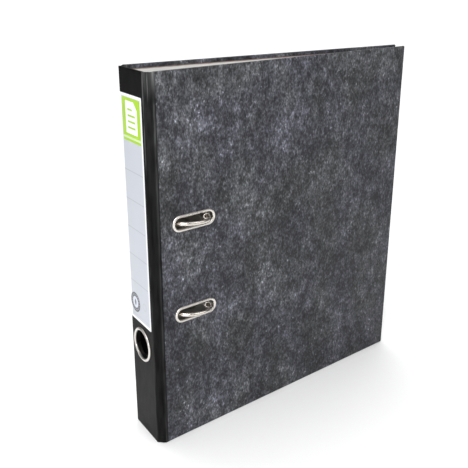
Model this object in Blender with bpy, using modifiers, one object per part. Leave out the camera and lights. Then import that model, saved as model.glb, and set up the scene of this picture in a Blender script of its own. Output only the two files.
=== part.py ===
"""Lever arch file, standing closed on its bottom edge.

The assembly is laid out in "file coordinates", in metres: X runs from the outer face of the spine
to the fore-edge, Y from the outer face of the front cover to the back cover, and Z up from the
bottom edge. One empty moves the whole file so that the origin is the centre of its footprint.
Each moving group hangs on an empty that sits on its joint's axis.
"""
import math

import bmesh
import bpy
from mathutils import Matrix, Vector

# ---------------------------------------------------------------- the case
HEIGHT = 0.318            # bottom edge to top edge
DEPTH = 0.292             # spine face to fore-edge
WIDTH = 0.051             # over both covers, at the spine
CORNER = 0.00525          # leg of the 45 degree hinge corners
PINCH = math.radians(6.8)  # how far the closed front cover leans in towards the back cover
HINGE_INSET = 0.0016      # hinge axes, in from the outer faces of spine and cover
STRIP_ON_COVER = 0.0031   # black strip, from the hinge corner on to each cover

PAPER = 0.0003            # covering paper, strip and lining
GAP = 0.0003              # between glued layers
FIT = 0.00015             # around riveted and rolled metal
COVER = 0.0027            # a finished cover, through all its layers
HINGE_CLEAR = 0.00015     # spine layers stop this far short of the hinge corner
BOARD_EDGE = 0.0061       # cover boards and linings start here, in X
LINING_MARGIN = 0.003     # linings stop this far short of the edges, where the covering is folded in

# ---------------------------------------------------------------- spine fittings
SPINE_MID = 0.0269        # centre line of label and finger ring, in Y
LABEL_WIDTH = 0.038
LABEL_HEIGHT = 0.192
LABEL_BOTTOM = 0.1066
RING_Z = 0.0864
RING_HOLE = 0.0127        # radius of the finger hole
RING_OUTER = 0.0152
RING_PROUD = 0.0012

# ---------------------------------------------------------------- cover slots
SLOT_X = 0.0404
SLOT_LENGTH = 0.0378      # clear opening inside the rim
SLOT_HEIGHT = 0.0095
RIM_WIDTH = 0.0023
RIM_PROUD = 0.0011
RIM_WALL = 0.0005

# ---------------------------------------------------------------- mechanism
MID_Z = 0.1578            # middle of the mechanism
HOLE_PITCH = 0.080        # distance between the two arches
PLATE_X = (0.014, 0.066)
PLATE_HALF_LENGTH = 0.062
PLATE_THICK = 0.001
PLATE_CORNER = 0.005
SPRING_WINDOW = ((0.0175, 0.0305), (0.1773, 0.1853))   # opening under the bow spring, in X and Z
STRAP_FOOT = 0.002        # flat of a bearing strap, on each side of its arch
RIVET_INSET = 0.006
RIVET_SHANK = 0.002
RIVET_PROUD = 0.0012

WIRE = 0.00175            # radius of the bow wire
BOW_X = 0.024             # bow axis
BOW_Y = 0.0446
CROWN_PROUD = 0.0045      # arch crown, out past the front cover's outer plane
CRANK = 0.010             # offset of the bow's middle from its axis
CRANK_HALF = 0.018
BEARING_Z = 0.0305        # bearing straps, from the middle
BEARING_HALF = 0.0025
STRAP_BORE = 0.00205
STRAP_THICK = 0.001

POST_X = 0.054
POST_TOP = 0.0068
POST_RADIUS = 0.0025
POST_BORE = 0.0018
POST_SLANT = -24          # degrees that a post's top leans towards the spine

LEVER_PIN_X = 0.050
LEVER_PIN_Y = 0.043
PIN_RADIUS = 0.002
LEVER_HALF = 0.013        # half width of the lever at its root
LEVER_THICK = 0.001
LUG_GAP = 0.0006
LUG_THICK = 0.0012
LUG_HALF = 0.007          # half width of a lug at the plate
LUG_EYE = 0.0045          # radius of a lug round the pin
ROLLER_X = 0.0336
ROLLER_RADIUS = 0.004
ROLLER_HALF = 0.008
ROLLER_PIN = 0.0015

BAR_Y = 0.0405            # compressor bar, upper face at rest
BAR_THICK = 0.0012
GUIDE_RADIUS = 0.004
GUIDE_FLANGE = 0.0058
GUIDE_Y = (0.0375, 0.0445)

SEGMENTS = 24             # sides of a round piece

COVER_IN = WIDTH - COVER            # inner face of the back cover
PLATE_TOP = COVER_IN - GAP - PLATE_THICK
ORIGIN = Vector(((DEPTH - RING_PROUD) / 2, (WIDTH + RIVET_PROUD - CROWN_PROUD) / 2, 0.0))
HINGE_FRONT = Vector((HINGE_INSET, HINGE_INSET, 0.0))
HINGE_BACK = Vector((HINGE_INSET, WIDTH - HINGE_INSET, 0.0))

for old in list(bpy.data.objects):
    bpy.data.objects.remove(old)

file_parts = bpy.data.collections.new("lever_arch_file")
cutters = bpy.data.collections.new("cutters")
for group in (file_parts, cutters):
    bpy.context.scene.collection.children.link(group)


# ---------------------------------------------------------------- materials
def finish(name, colour, roughness, metallic=0.0):
    material = bpy.data.materials.new(name)
    material.use_nodes = True
    shader = material.node_tree.nodes["Principled BSDF"]
    shader.inputs["Base Color"].default_value = (*colour, 1.0)
    shader.inputs["Roughness"].default_value = roughness
    shader.inputs["Metallic"].default_value = metallic
    material.diffuse_color = (*colour, 1.0)
    return material


CLOUD_PAPER = ("cloud_paper", (0.105, 0.105, 0.118), 0.62)
BLACK_FILM = ("black_film", (0.018, 0.018, 0.020), 0.42)
GREY_BOARD = ("grey_board", (0.42, 0.40, 0.37), 0.90)
LINING = ("lining_paper", (0.72, 0.72, 0.70), 0.75)
LABEL_PAPER = ("label_paper", (0.80, 0.80, 0.84), 0.45)
NICKEL = ("nickel_plate", (0.78, 0.75, 0.70), 0.20, 1.0)
STEEL = ("zinc_steel", (0.62, 0.62, 0.62), 0.35, 1.0)
SPRING_STEEL = ("spring_steel", (0.40, 0.39, 0.38), 0.30, 1.0)
BLACK_PLASTIC = ("black_plastic", (0.025, 0.025, 0.025), 0.38)


# ---------------------------------------------------------------- building blocks
def body(name, place, turn=0.0):
    """An empty on a joint's axis, in file coordinates, turned about Z after its pieces hang on it."""
    empty = bpy.data.objects.new(name, None)
    file_parts.objects.link(empty)
    empty.parent = whole_file
    empty.location = place
    empty.rotation_euler.z = turn
    return empty


def add(name, mesh, parent, look, smooth=None):
    """Put a mesh, in file coordinates, under its body as one named piece with its own material."""
    piece = bpy.data.objects.new(name, mesh)
    file_parts.objects.link(piece)
    piece.parent = parent
    piece.matrix_parent_inverse = Matrix.Translation(-parent.location)
    mesh.materials.append(finish(f"{name}_{look[0]}", *look[1:]))
    if smooth is not None:
        mesh.shade_smooth()
        mesh.set_sharp_from_angle(angle=math.radians(smooth))
    return piece


def box_mesh(x, y, z):
    """A box between the given limits."""
    shape = bmesh.new()
    bmesh.ops.create_cube(shape, size=1.0)
    size = Vector((x[1] - x[0], y[1] - y[0], z[1] - z[0]))
    middle = Vector((x[0] + x[1], y[0] + y[1], z[0] + z[1])) / 2
    bmesh.ops.scale(shape, vec=size, verts=shape.verts)
    bmesh.ops.translate(shape, vec=middle, verts=shape.verts)
    return to_mesh(shape)


def cylinder_mesh(radius, start, end):
    """A closed cylinder between two points."""
    shape = bmesh.new()
    run = Vector(end) - Vector(start)
    turn = run.to_track_quat("Z", "Y").to_matrix().to_4x4()
    place = Matrix.Translation((Vector(start) + Vector(end)) / 2) @ turn
    bmesh.ops.create_cone(shape, cap_ends=True, segments=SEGMENTS, radius1=radius, radius2=radius,
                          depth=run.length, matrix=place)
    return to_mesh(shape)


def to_mesh(shape):
    mesh = bpy.data.meshes.new("shape")
    shape.to_mesh(mesh)
    shape.free()
    return mesh


def evaluated(source, place=Matrix()):
    """The finished mesh of an object, moved into file coordinates; the object is removed."""
    bpy.context.view_layer.update()
    graph = bpy.context.evaluated_depsgraph_get()
    mesh = bpy.data.meshes.new_from_object(source.evaluated_get(graph))
    mesh.transform(place @ source.matrix_world)
    bpy.data.objects.remove(source)
    shape = bmesh.new()
    shape.from_mesh(mesh)
    bmesh.ops.remove_doubles(shape, verts=shape.verts, dist=1e-7)
    face_outwards(shape)
    shape.to_mesh(mesh)
    shape.free()
    mesh.materials.clear()
    return mesh


def face_outwards(shape):
    """Make the faces of a closed shape agree, and point out."""
    bmesh.ops.recalc_face_normals(shape, faces=shape.faces)
    if shape.calc_volume(signed=True) < 0:
        bmesh.ops.reverse_faces(shape, faces=shape.faces)


def flat_mesh(outlines, thickness, place):
    """A plate from flat outlines (the first is the edge, the others are holes), centred on its plane."""
    curve = bpy.data.curves.new("outline", "CURVE")
    curve.dimensions = "2D"
    curve.fill_mode = "BOTH"
    curve.extrude = thickness / 2
    for outline in outlines:
        spline = curve.splines.new("POLY")
        spline.points.add(len(outline) - 1)
        for point, (u, v) in zip(spline.points, outline):
            point.co = (u, v, 0.0, 1.0)
        spline.use_cyclic_u = True
    sketch = bpy.data.objects.new("outline", curve)
    cutters.objects.link(sketch)
    return evaluated(sketch, place)


def wire_mesh(points, radius, tips=None):
    """A round wire through the points; tips maps a point's index to its share of the radius."""
    curve = bpy.data.curves.new("wire", "CURVE")
    curve.dimensions = "3D"
    curve.bevel_depth = radius
    curve.bevel_resolution = 2
    curve.use_fill_caps = True
    spline = curve.splines.new("POLY")
    spline.points.add(len(points) - 1)
    for index, (point, place) in enumerate(zip(spline.points, points)):
        point.co = (*place, 1.0)
        point.radius = (tips or {}).get(index, 1.0)
    route = bpy.data.objects.new("wire", curve)
    cutters.objects.link(route)
    return evaluated(route)


def turned_mesh(profile, place, closed):
    """Turn a profile of (radius, height) points about Z, then move it into file coordinates."""
    shape = bmesh.new()
    ring = [shape.verts.new((radius, 0.0, height)) for radius, height in profile]
    for first, second in zip(ring, ring[1:]):
        shape.edges.new((first, second))
    if closed:
        shape.edges.new((ring[-1], ring[0]))
    blank = bpy.data.objects.new("turned", to_mesh(shape))
    cutters.objects.link(blank)
    screw = blank.modifiers.new("turn", "SCREW")
    screw.steps = SEGMENTS
    screw.render_steps = SEGMENTS
    screw.use_merge_vertices = True
    screw.merge_threshold = 1e-6
    return evaluated(blank, place)


def combine(piece, mesh, operation="DIFFERENCE"):
    """Cut a mesh from a piece, or join it on, with a Boolean whose tool stays in the cutters group."""
    tool = bpy.data.objects.new(f"{piece.name}_tool", mesh)
    cutters.objects.link(tool)
    tool.parent = piece.parent
    tool.matrix_parent_inverse = piece.matrix_parent_inverse
    tool.hide_render = True
    tool.display_type = "WIRE"
    step = piece.modifiers.new(tool.name, "BOOLEAN")
    step.operation = operation
    step.object = tool
    step.solver = "EXACT"


def soften(piece, width, segments=1, angle=30.0):
    """Round a piece's sharp edges."""
    bevel = piece.modifiers.new("edges", "BEVEL")
    bevel.width = width
    bevel.segments = segments
    bevel.limit_method = "ANGLE"
    bevel.angle_limit = math.radians(angle)
    bevel.use_clamp_overlap = True


def arc(centre, radius, start, end, count):
    """Points on an arc, angles in degrees; a radius may be a pair for an ellipse."""
    along, across = radius if isinstance(radius, tuple) else (radius, radius)
    turns = [math.radians(start + (end - start) * index / count) for index in range(count + 1)]
    return [(centre[0] + along * math.cos(t), centre[1] + across * math.sin(t)) for t in turns]


def obround(centre, length, radius, count=8):
    """The outline of a slot: two half circles of the given radius, length overall at radius."""
    reach = length / 2
    right = arc((centre[0] + reach, centre[1]), radius, -90, 90, count)
    left = arc((centre[0] - reach, centre[1]), radius, 90, 270, count)
    return right + left


def circle(centre, radius, count=SEGMENTS):
    return arc(centre, radius, 0, 360 - 360 / count, count - 1)


def rounded(corners, radius, count=4):
    """A polygon, counter-clockwise, with its corners rounded."""
    outline = []
    for index, corner in enumerate(corners):
        here = Vector(corner)
        before = (Vector(corners[index - 1]) - here).normalized()
        after = (Vector(corners[(index + 1) % len(corners)]) - here).normalized()
        half = before.angle(after) / 2
        centre = here + (before + after).normalized() * radius / math.sin(half)
        first = here + before * radius / math.tan(half)
        last = here + after * radius / math.tan(half)
        for step in range(count + 1):
            reach = first.lerp(last, step / count) - centre
            outline.append(tuple(centre + reach.normalized() * radius))
    return outline


def rectangle(x, z):
    return [(x[0], z[0]), (x[1], z[0]), (x[1], z[1]), (x[0], z[1])]


def in_cover_plane(y):
    """Puts a sketch's (u, v) at X = u and Z = v, at the given Y."""
    return Matrix.Translation((0.0, y, 0.0)) @ Matrix.Rotation(math.radians(90), 4, "X")


def along_y(x, y, z, out=1.0):
    """Puts a turned piece's height along Y: out +1 towards the back cover, -1 towards the front."""
    return Matrix.Translation((x, y, z)) @ Matrix.Rotation(math.radians(-90 * out), 4, "X")


def cover_depth(front, outer, inner):
    """The Y limits of a layer that lies between two depths below a cover's outer face."""
    if front:
        return (outer, inner)
    return (WIDTH - inner, WIDTH - outer)


# ---------------------------------------------------------------- covers and spine
def cover(side, parent, openings):
    """Board, covering paper, lining and hinge strip of one cover; openings are cut through all."""
    front = side == "front"
    strip_end = CORNER + STRIP_ON_COVER
    inset = PAPER + GAP
    margin = LINING_MARGIN
    core = box_mesh((BOARD_EDGE, DEPTH - inset), cover_depth(front, inset, COVER - inset),
                    (inset, HEIGHT - inset))
    board = add(f"{side}_board", core, parent, GREY_BOARD)
    wrap = box_mesh((strip_end + GAP, DEPTH), cover_depth(front, 0.0, COVER), (0.0, HEIGHT))
    paper = add(f"{side}_cover_paper", wrap, parent, CLOUD_PAPER)
    combine(paper, box_mesh((0.0, DEPTH - PAPER), cover_depth(front, PAPER, COVER - PAPER),
                            (PAPER, HEIGHT - PAPER)))
    combine(paper, box_mesh((0.0, DEPTH - margin), cover_depth(front, COVER - 2 * PAPER, 2 * COVER),
                            (margin, HEIGHT - margin)))
    sheet = box_mesh((BOARD_EDGE, DEPTH - margin - GAP), cover_depth(front, COVER - PAPER, COVER),
                     (margin + GAP, HEIGHT - margin - GAP))
    lining = add(f"{side}_lining", sheet, parent, LINING)
    for layer in (board, paper, lining):
        for opening in openings:
            combine(layer, opening.copy())
    hinge_strip(side, parent, strip_end)


def hinge_strip(side, parent, strip_end):
    """Black strip from the hinge corner on to a cover, as one bent sheet."""
    lead = 0.0004
    bend = PAPER * math.tan(math.radians(22.5))
    inward = PAPER * math.sqrt(0.5)
    outline = [(lead, CORNER - lead), (CORNER, 0.0), (strip_end, 0.0), (strip_end, PAPER),
               (CORNER + bend, PAPER), (lead + inward, CORNER - lead + inward)]
    place = Matrix.Translation((0.0, 0.0, HEIGHT / 2))
    if side == "back":
        outline = [(x, WIDTH - y) for x, y in reversed(outline)]
    add(f"{side}_hinge_strip", flat_mesh([outline], HEIGHT, place), parent, BLACK_FILM)


def spine(parent):
    """Spine board with its strip, lining, label and finger ring."""
    across = (CORNER + HINGE_CLEAR, WIDTH - CORNER - HINGE_CLEAR)
    bore = RING_HOLE + RIM_WALL + FIT
    hole = cylinder_mesh(bore, (-0.01, SPINE_MID, RING_Z), (0.01, SPINE_MID, RING_Z))
    inset = PAPER + GAP
    strip = add("spine_strip", box_mesh((0.0, PAPER), across, (0.0, HEIGHT)), parent, BLACK_FILM)
    core = box_mesh((inset, COVER - inset), across, (inset, HEIGHT - inset))
    board = add("spine_board", core, parent, GREY_BOARD)
    sheet = box_mesh((COVER - PAPER, COVER), across, (LINING_MARGIN, HEIGHT - LINING_MARGIN))
    lining = add("spine_lining", sheet, parent, LINING)
    for layer in (strip, board, lining):
        combine(layer, hole.copy())
    label = box_mesh((-GAP - PAPER, -GAP),
                     (SPINE_MID - LABEL_WIDTH / 2, SPINE_MID + LABEL_WIDTH / 2),
                     (LABEL_BOTTOM, LABEL_BOTTOM + LABEL_HEIGHT))
    add("spine_label", label, parent, LABEL_PAPER)
    finger_ring(parent)


def finger_ring(parent):
    """A turned ring with a rolled bead outside, and the washer it is closed over inside."""
    inside = COVER + FIT
    washer = 0.0006
    bead_mid = (RING_HOLE + RING_OUTER) / 2
    bead_half = (RING_OUTER - RING_HOLE) / 2
    bead = [(bead_mid + bead_half * math.cos(t), -FIT - (RING_PROUD - FIT) * math.sin(t))
            for t in (math.radians(180 * index / 8) for index in range(9))]
    lip = inside + washer + FIT
    wall = [(RING_HOLE, lip + 0.0005), (RING_HOLE + 0.0014, lip + 0.0005), (RING_HOLE + 0.0014, lip),
            (RING_HOLE + RIM_WALL, lip), (RING_HOLE + RIM_WALL, -FIT)]
    place = Matrix.Translation((0.0, SPINE_MID, RING_Z)) @ Matrix.Rotation(math.radians(90), 4, "Y")
    add("finger_ring", turned_mesh(bead + wall, place, True), parent, NICKEL, 40)
    bore = RING_HOLE + RIM_WALL + FIT
    flat = [(bore, inside), (RING_OUTER + 0.0006, inside), (RING_OUTER + 0.0006, inside + washer),
            (bore, inside + washer)]
    add("finger_ring_washer", turned_mesh(flat, place, True), parent, NICKEL, 40)


def slot_rim(name, z, parent):
    """A rolled metal rim round one slot: its section is carried round the slot's outline."""
    inside = COVER + FIT
    section = [(0.0, inside + 0.0007), (0.0, -0.0005), (0.0004, -0.0009), (0.00115, -RIM_PROUD),
               (0.0019, -0.0009), (RIM_WIDTH, -0.0004), (RIM_WIDTH, -FIT), (RIM_WALL, -FIT),
               (RIM_WALL, inside), (0.0020, inside), (0.0020, inside + 0.0004), (0.0016, inside + 0.0007)]
    shape = bmesh.new()
    radius = SLOT_HEIGHT / 2
    rings = []
    for out, depth in section:
        outline = obround((SLOT_X, z), SLOT_LENGTH - SLOT_HEIGHT, radius + out)
        rings.append([shape.verts.new((x, depth, height)) for x, height in outline])
    for here, there in zip(rings, rings[1:] + rings[:1]):
        for index in range(len(here)):
            after = (index + 1) % len(here)
            shape.faces.new((here[index], here[after], there[after], there[index]))
    face_outwards(shape)
    add(name, to_mesh(shape), parent, NICKEL, 40)


def slot_cutters():
    """What is cut through the front cover for the two rims."""
    radius = SLOT_HEIGHT / 2 + RIM_WALL + FIT
    cuts = []
    for z in (MID_Z - HOLE_PITCH / 2, MID_Z + HOLE_PITCH / 2):
        outline = obround((SLOT_X, z), SLOT_LENGTH - SLOT_HEIGHT, radius)
        cuts.append(flat_mesh([outline], 0.02, in_cover_plane(0.0)))
    return cuts


# ---------------------------------------------------------------- mechanism, fixed part
def rivet_places():
    """The four rivets of the base plate, as (X, Z)."""
    xs = (PLATE_X[0] + RIVET_INSET, PLATE_X[1] - RIVET_INSET)
    zs = (MID_Z - PLATE_HALF_LENGTH + RIVET_INSET, MID_Z + PLATE_HALF_LENGTH - RIVET_INSET)
    return [(x, z) for z in zs for x in xs]


def post_places():
    return [MID_Z - HOLE_PITCH / 2, MID_Z + HOLE_PITCH / 2]


def base_plate(parent):
    """Stamped plate with the lever's two lugs and the two straps that hold the bow down."""
    ends = (MID_Z - PLATE_HALF_LENGTH, MID_Z + PLATE_HALF_LENGTH)
    edge = rounded(rectangle(PLATE_X, ends), PLATE_CORNER)
    holes = [circle(place, RIVET_SHANK + FIT) for place in rivet_places()]
    holes += [circle((POST_X, z), POST_RADIUS + FIT) for z in post_places()]
    holes.append(rectangle(*SPRING_WINDOW))
    sheet = flat_mesh([edge] + holes, PLATE_THICK, in_cover_plane(PLATE_TOP + PLATE_THICK / 2))
    plate = add("base_plate", sheet, parent, STEEL)
    root = PLATE_TOP + PLATE_THICK / 2
    for side in (-1, 1):
        z = MID_Z + side * (LEVER_HALF + LUG_GAP + LUG_THICK / 2)
        lug = [(LEVER_PIN_X - LUG_HALF, root), (LEVER_PIN_X + LUG_HALF, root)]
        lug += arc((LEVER_PIN_X, LEVER_PIN_Y), LUG_EYE, 20, -200, 10)
        holed = [lug, circle((LEVER_PIN_X, LEVER_PIN_Y), PIN_RADIUS + FIT)]
        combine(plate, flat_mesh(holed, LUG_THICK, Matrix.Translation((0, 0, z))), "UNION")
    arch = STRAP_BORE + STRAP_THICK
    toe = arch + STRAP_FOOT
    step = PLATE_TOP - STRAP_THICK / 2
    neck = PLATE_TOP - STRAP_THICK
    strap = [(BOW_X + toe, root), (BOW_X + toe, step), (BOW_X + arch, neck)]
    strap += arc((BOW_X, BOW_Y), arch, 0, -180, 10)
    strap += [(BOW_X - arch, neck), (BOW_X - toe, step), (BOW_X - toe, root), (BOW_X - STRAP_BORE, root)]
    strap += arc((BOW_X, BOW_Y), STRAP_BORE, -180, 0, 10)
    strap += [(BOW_X + STRAP_BORE, root)]
    for side in (-1, 1):
        place = Matrix.Translation((0, 0, MID_Z + side * BEARING_Z))
        combine(plate, flat_mesh([strap], 2 * BEARING_HALF, place), "UNION")


def rivets(parent):
    """Round-headed rivets through back cover and base plate."""
    head = 0.0042
    tail = 0.0035
    grip = WIDTH + FIT - (PLATE_TOP - FIT)
    dome = [(0.0, grip + RIVET_PROUD - FIT)]
    dome += [(head * math.sin(t), grip + (RIVET_PROUD - FIT) * math.cos(t))
             for t in (math.radians(90 * index / 5) for index in range(1, 6))]
    shank = [(RIVET_SHANK, grip), (RIVET_SHANK, 0.0), (tail, 0.0), (tail, -0.0004),
             (tail - 0.0010, -0.0008), (0.0, -0.0008)]
    for number, (x, z) in enumerate(rivet_places(), start=1):
        mesh = turned_mesh(dome + shank, along_y(x, PLATE_TOP - FIT, z), False)
        add(f"rivet_{number}", mesh, parent, NICKEL, 40)


def posts(parent):
    """Tubular posts, footed on the base plate, with tops cut aslant to take the tips of the bow."""
    foot = PLATE_TOP - FIT
    top = foot - POST_TOP
    bore_end = 0.004
    collar = 0.0045
    profile = [(POST_BORE, top), (POST_RADIUS, top), (POST_RADIUS, 0.0008), (collar, 0.0008),
               (collar, 0.0), (POST_RADIUS, 0.0), (POST_RADIUS, -PLATE_THICK), (0.0, -PLATE_THICK),
               (0.0, bore_end), (POST_BORE, bore_end)]
    for name, z in zip(("post_lower", "post_upper"), post_places()):
        mesh = turned_mesh(profile, along_y(POST_X, foot, z, -1.0), True)
        post = add(name, mesh, parent, NICKEL, 40)
        knife = box_mesh((-0.02, 0.02), (-0.01, 0.0), (-0.01, 0.01))
        knife.transform(Matrix.Rotation(math.radians(POST_SLANT), 4, "Z"))
        knife.transform(Matrix.Translation((POST_X + POST_RADIUS, POST_TOP, z)))
        combine(post, knife)


def lever_pin(parent):
    """Headed pin through the lugs and the lever."""
    reach = LEVER_HALF + LUG_GAP + LUG_THICK + FIT
    head = 0.0029
    cap = 0.0008
    half = [(0.0, reach + cap), (head - 0.0005, reach + cap), (head, reach + cap - 0.0004), (head, reach),
            (PIN_RADIUS, reach)]
    profile = half + [(radius, -height) for radius, height in reversed(half)]
    place = Matrix.Translation((LEVER_PIN_X, LEVER_PIN_Y, MID_Z))
    add("lever_pin", turned_mesh(profile, place, False), parent, STEEL, 40)


def bow_spring(parent):
    """Torsion spring wound round the bow's axis, its two legs lying in the plate's window."""
    coil = 0.00255
    wire = 0.0004
    start = 0.0209
    turns = 5
    per_turn = 14
    pitch = 0.0011
    route = [(BOW_X + 0.0055, BOW_Y + coil, MID_Z + start)]
    for step in range(turns * per_turn + 1):
        angle = math.radians(90 + 360 * step / per_turn)
        route.append((BOW_X + coil * math.cos(angle), BOW_Y + coil * math.sin(angle),
                      MID_Z + start + pitch * step / per_turn))
    route.append((BOW_X - 0.0055, BOW_Y + coil, MID_Z + start + pitch * turns))
    add("bow_spring", wire_mesh(route, wire), parent, SPRING_STEEL, 60)


# ---------------------------------------------------------------- mechanism, moving parts
def arch_bow(parent):
    """One bent wire: two arches that close on the posts, and a cranked rod between them."""
    crown = -CROWN_PROUD + WIRE
    shoulder = 0.010
    middle = (BOW_X + POST_X) / 2
    span = (POST_X - BOW_X) / 2
    rise = shoulder - crown
    bend = 0.004
    arch = arc((middle, shoulder), (span, rise), -12, -180, 20)
    tip = Vector(arch[0])
    nose = tip + (tip - Vector(arch[1])).normalized() * 0.0012
    side = [(*point, HOLE_PITCH / 2) for point in [nose] + arch]
    side.append((BOW_X, BOW_Y - bend, HOLE_PITCH / 2))
    for drop, inward in arc((0.0, 0.0), bend, 22.5, 90, 3):
        side.append((BOW_X, BOW_Y - bend + inward, HOLE_PITCH / 2 - bend + drop))
    turn = 0.003
    side.append((BOW_X, BOW_Y, CRANK_HALF + turn))
    for across, along in arc((0.0, 0.0), turn, -67.5, 0, 3):
        side.append((BOW_X + turn + along, BOW_Y, CRANK_HALF + turn - across))
    for across, along in arc((0.0, 0.0), turn, 0, 90, 4):
        side.append((BOW_X + CRANK - turn + along, BOW_Y, CRANK_HALF - turn + across))
    upper = [(x, y, MID_Z + z) for x, y, z in side]
    lower = [(x, y, MID_Z - z) for x, y, z in reversed(side)]
    pointed = {0: 0.42, len(upper + lower) - 1: 0.42}
    add("arch_bow", wire_mesh(upper + lower, WIRE, pointed), parent, NICKEL, 60)


def lever_stations():
    """Along the lever: X, Y of its top, lowest Y of its flanges, and half width."""
    nose = 0.0037
    stations = []
    for degrees in (-28, -55, -90):
        x = LEVER_PIN_X + nose * math.cos(math.radians(degrees))
        top = LEVER_PIN_Y + nose * math.sin(math.radians(degrees))
        stations.append((x, top, 2 * LEVER_PIN_Y - top - 0.0003, LEVER_HALF))
    stations += [
        (0.0465, 0.0372, 0.0447, 0.0130), (0.0425, 0.0352, 0.0430, 0.0127),
        (0.0380, 0.0338, 0.0418, 0.0123), (0.0336, 0.0328, 0.0414, 0.0120),
        (0.0290, 0.0320, 0.0406, 0.0114), (0.0240, 0.0313, 0.0385, 0.0106),
        (0.0190, 0.0305, 0.0357, 0.0098), (0.0145, 0.0293, 0.0330, 0.0092),
        (0.0110, 0.0277, 0.0306, 0.0089), (0.0082, 0.0258, 0.0281, 0.0088),
        (0.0062, 0.0240, 0.0259, 0.0087),
    ]
    return stations


def lever_arm(parent):
    """Pressed channel: a web with two flanges, round at the nose, turned up at the finger end.

    The surface drawn is its outer one, and the sheet's thickness lies under it.
    """
    fillet = 0.0018
    shape = bmesh.new()
    rows = []
    for x, top, low, half in lever_stations():
        corner = arc((half - fillet, top + fillet), fillet, -90, 0, 3)
        right = [(0.0, top)] + [(z, y) for z, y in corner] + [(half, max(low, top + fillet + 0.0002))]
        left = [(-z, y) for z, y in reversed(right[1:])]
        rows.append([shape.verts.new((x, y, MID_Z + z)) for z, y in left + right])
    for here, there in zip(rows, rows[1:]):
        for index in range(len(here) - 1):
            shape.faces.new((here[index], here[index + 1], there[index + 1], there[index]))
    bmesh.ops.recalc_face_normals(shape, faces=shape.faces)
    arm = add("lever_arm", to_mesh(shape), parent, NICKEL, 35)
    shell = arm.modifiers.new("sheet", "SOLIDIFY")
    shell.thickness = LEVER_THICK
    shell.offset = -1.0
    shell.use_even_offset = True
    reach = LEVER_HALF + 0.002
    for radius, x, y in ((PIN_RADIUS, LEVER_PIN_X, LEVER_PIN_Y), (ROLLER_PIN, ROLLER_X, roller_y())):
        combine(arm, cylinder_mesh(radius + FIT, (x, y, MID_Z - reach), (x, y, MID_Z + reach)))


def roller_y():
    """The roller rests on the crank of the bow."""
    return BOW_Y - WIRE - GAP - ROLLER_RADIUS


def roller(lever, spindle):
    """Roller under the lever, and the headed pin it turns on."""
    reach = 0.0120 + FIT
    head = 0.0022
    cap = 0.0006
    half = [(0.0, reach + cap), (head, reach + cap), (head, reach), (ROLLER_PIN, reach)]
    profile = half + [(radius, -height) for radius, height in reversed(half)]
    place = Matrix.Translation((ROLLER_X, roller_y(), MID_Z))
    add("roller_pin", turned_mesh(profile, place, False), lever, STEEL, 40)
    ease = 0.0005
    bore = ROLLER_PIN + FIT
    half = [(bore, ROLLER_HALF), (ROLLER_RADIUS - ease, ROLLER_HALF), (ROLLER_RADIUS, ROLLER_HALF - ease)]
    tread = half + [(radius, -height) for radius, height in reversed(half)]
    add("lever_roller", turned_mesh(tread, place, True), spindle, STEEL, 40)


def compressor(parent):
    """Bar that slides on the posts, stepped aside to pass the lever, with its two guides."""
    half = 0.052
    step = 0.024
    outer = [(0.0620, half), (0.0620, step + 0.009), (0.0700, step - 0.003)]
    inner = [(0.0590, step - 0.001), (0.0475, step + 0.009), (0.0475, half)]
    edge = [(x, MID_Z - z) for x, z in outer] + [(x, MID_Z + z) for x, z in reversed(outer)]
    edge += [(x, MID_Z + z) for x, z in reversed(inner)] + [(x, MID_Z - z) for x, z in inner]
    outline = rounded(edge, 0.003)
    holes = [circle((POST_X, z), GUIDE_RADIUS + FIT) for z in post_places()]
    place = in_cover_plane(BAR_Y + BAR_THICK / 2)
    bar = add("compressor_bar", flat_mesh([outline] + holes, BAR_THICK, place), parent, STEEL)
    soften(bar, 0.0003)
    bore = POST_RADIUS + FIT
    neck = BAR_Y - GUIDE_Y[0]
    length = GUIDE_Y[1] - GUIDE_Y[0]
    clip = neck + BAR_THICK + FIT
    seat = neck - FIT
    flange = 0.0010
    profile = [(bore, length), (GUIDE_RADIUS, length), (GUIDE_RADIUS, clip + flange),
               (GUIDE_FLANGE, clip + flange), (GUIDE_FLANGE, clip), (GUIDE_RADIUS, clip),
               (GUIDE_RADIUS, seat), (GUIDE_FLANGE, seat), (GUIDE_FLANGE, seat - flange),
               (GUIDE_RADIUS + 0.0004, 0.0004), (GUIDE_RADIUS, 0.0), (bore, 0.0)]
    for name, z in zip(("compressor_guide_lower", "compressor_guide_upper"), post_places()):
        mesh = turned_mesh(profile, along_y(POST_X, GUIDE_Y[0], z), True)
        add(name, mesh, parent, BLACK_PLASTIC, 40)


whole_file = bpy.data.objects.new("whole_file", None)
file_parts.objects.link(whole_file)
whole_file.location = -ORIGIN

back_cover = body("back_cover_body", Vector((0.0, 0.0, 0.0)))
spine_body = body("spine_body", HINGE_BACK)
front_cover = body("front_cover_body", HINGE_FRONT, PINCH)
bow_body = body("bow_body", Vector((BOW_X, BOW_Y, MID_Z)))
lever_body = body("lever_body", Vector((LEVER_PIN_X, LEVER_PIN_Y, MID_Z)))
roller_body = body("roller_body", Vector((ROLLER_X, roller_y(), MID_Z)))
compressor_body = body("compressor_body", Vector((POST_X, BAR_Y, MID_Z)))

rivet_cuts = [cylinder_mesh(RIVET_SHANK + FIT, (x, WIDTH - 0.01, z), (x, WIDTH + 0.01, z))
              for x, z in rivet_places()]
cover("back", back_cover, rivet_cuts)
cover("front", front_cover, slot_cutters())
spine(spine_body)
slot_rim("slot_rim_lower", MID_Z - HOLE_PITCH / 2, front_cover)
slot_rim("slot_rim_upper", MID_Z + HOLE_PITCH / 2, front_cover)
base_plate(back_cover)
rivets(back_cover)
posts(back_cover)
lever_pin(back_cover)
bow_spring(back_cover)
arch_bow(bow_body)
lever_arm(lever_body)
roller(lever_body, roller_body)
compressor(compressor_body)
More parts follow.
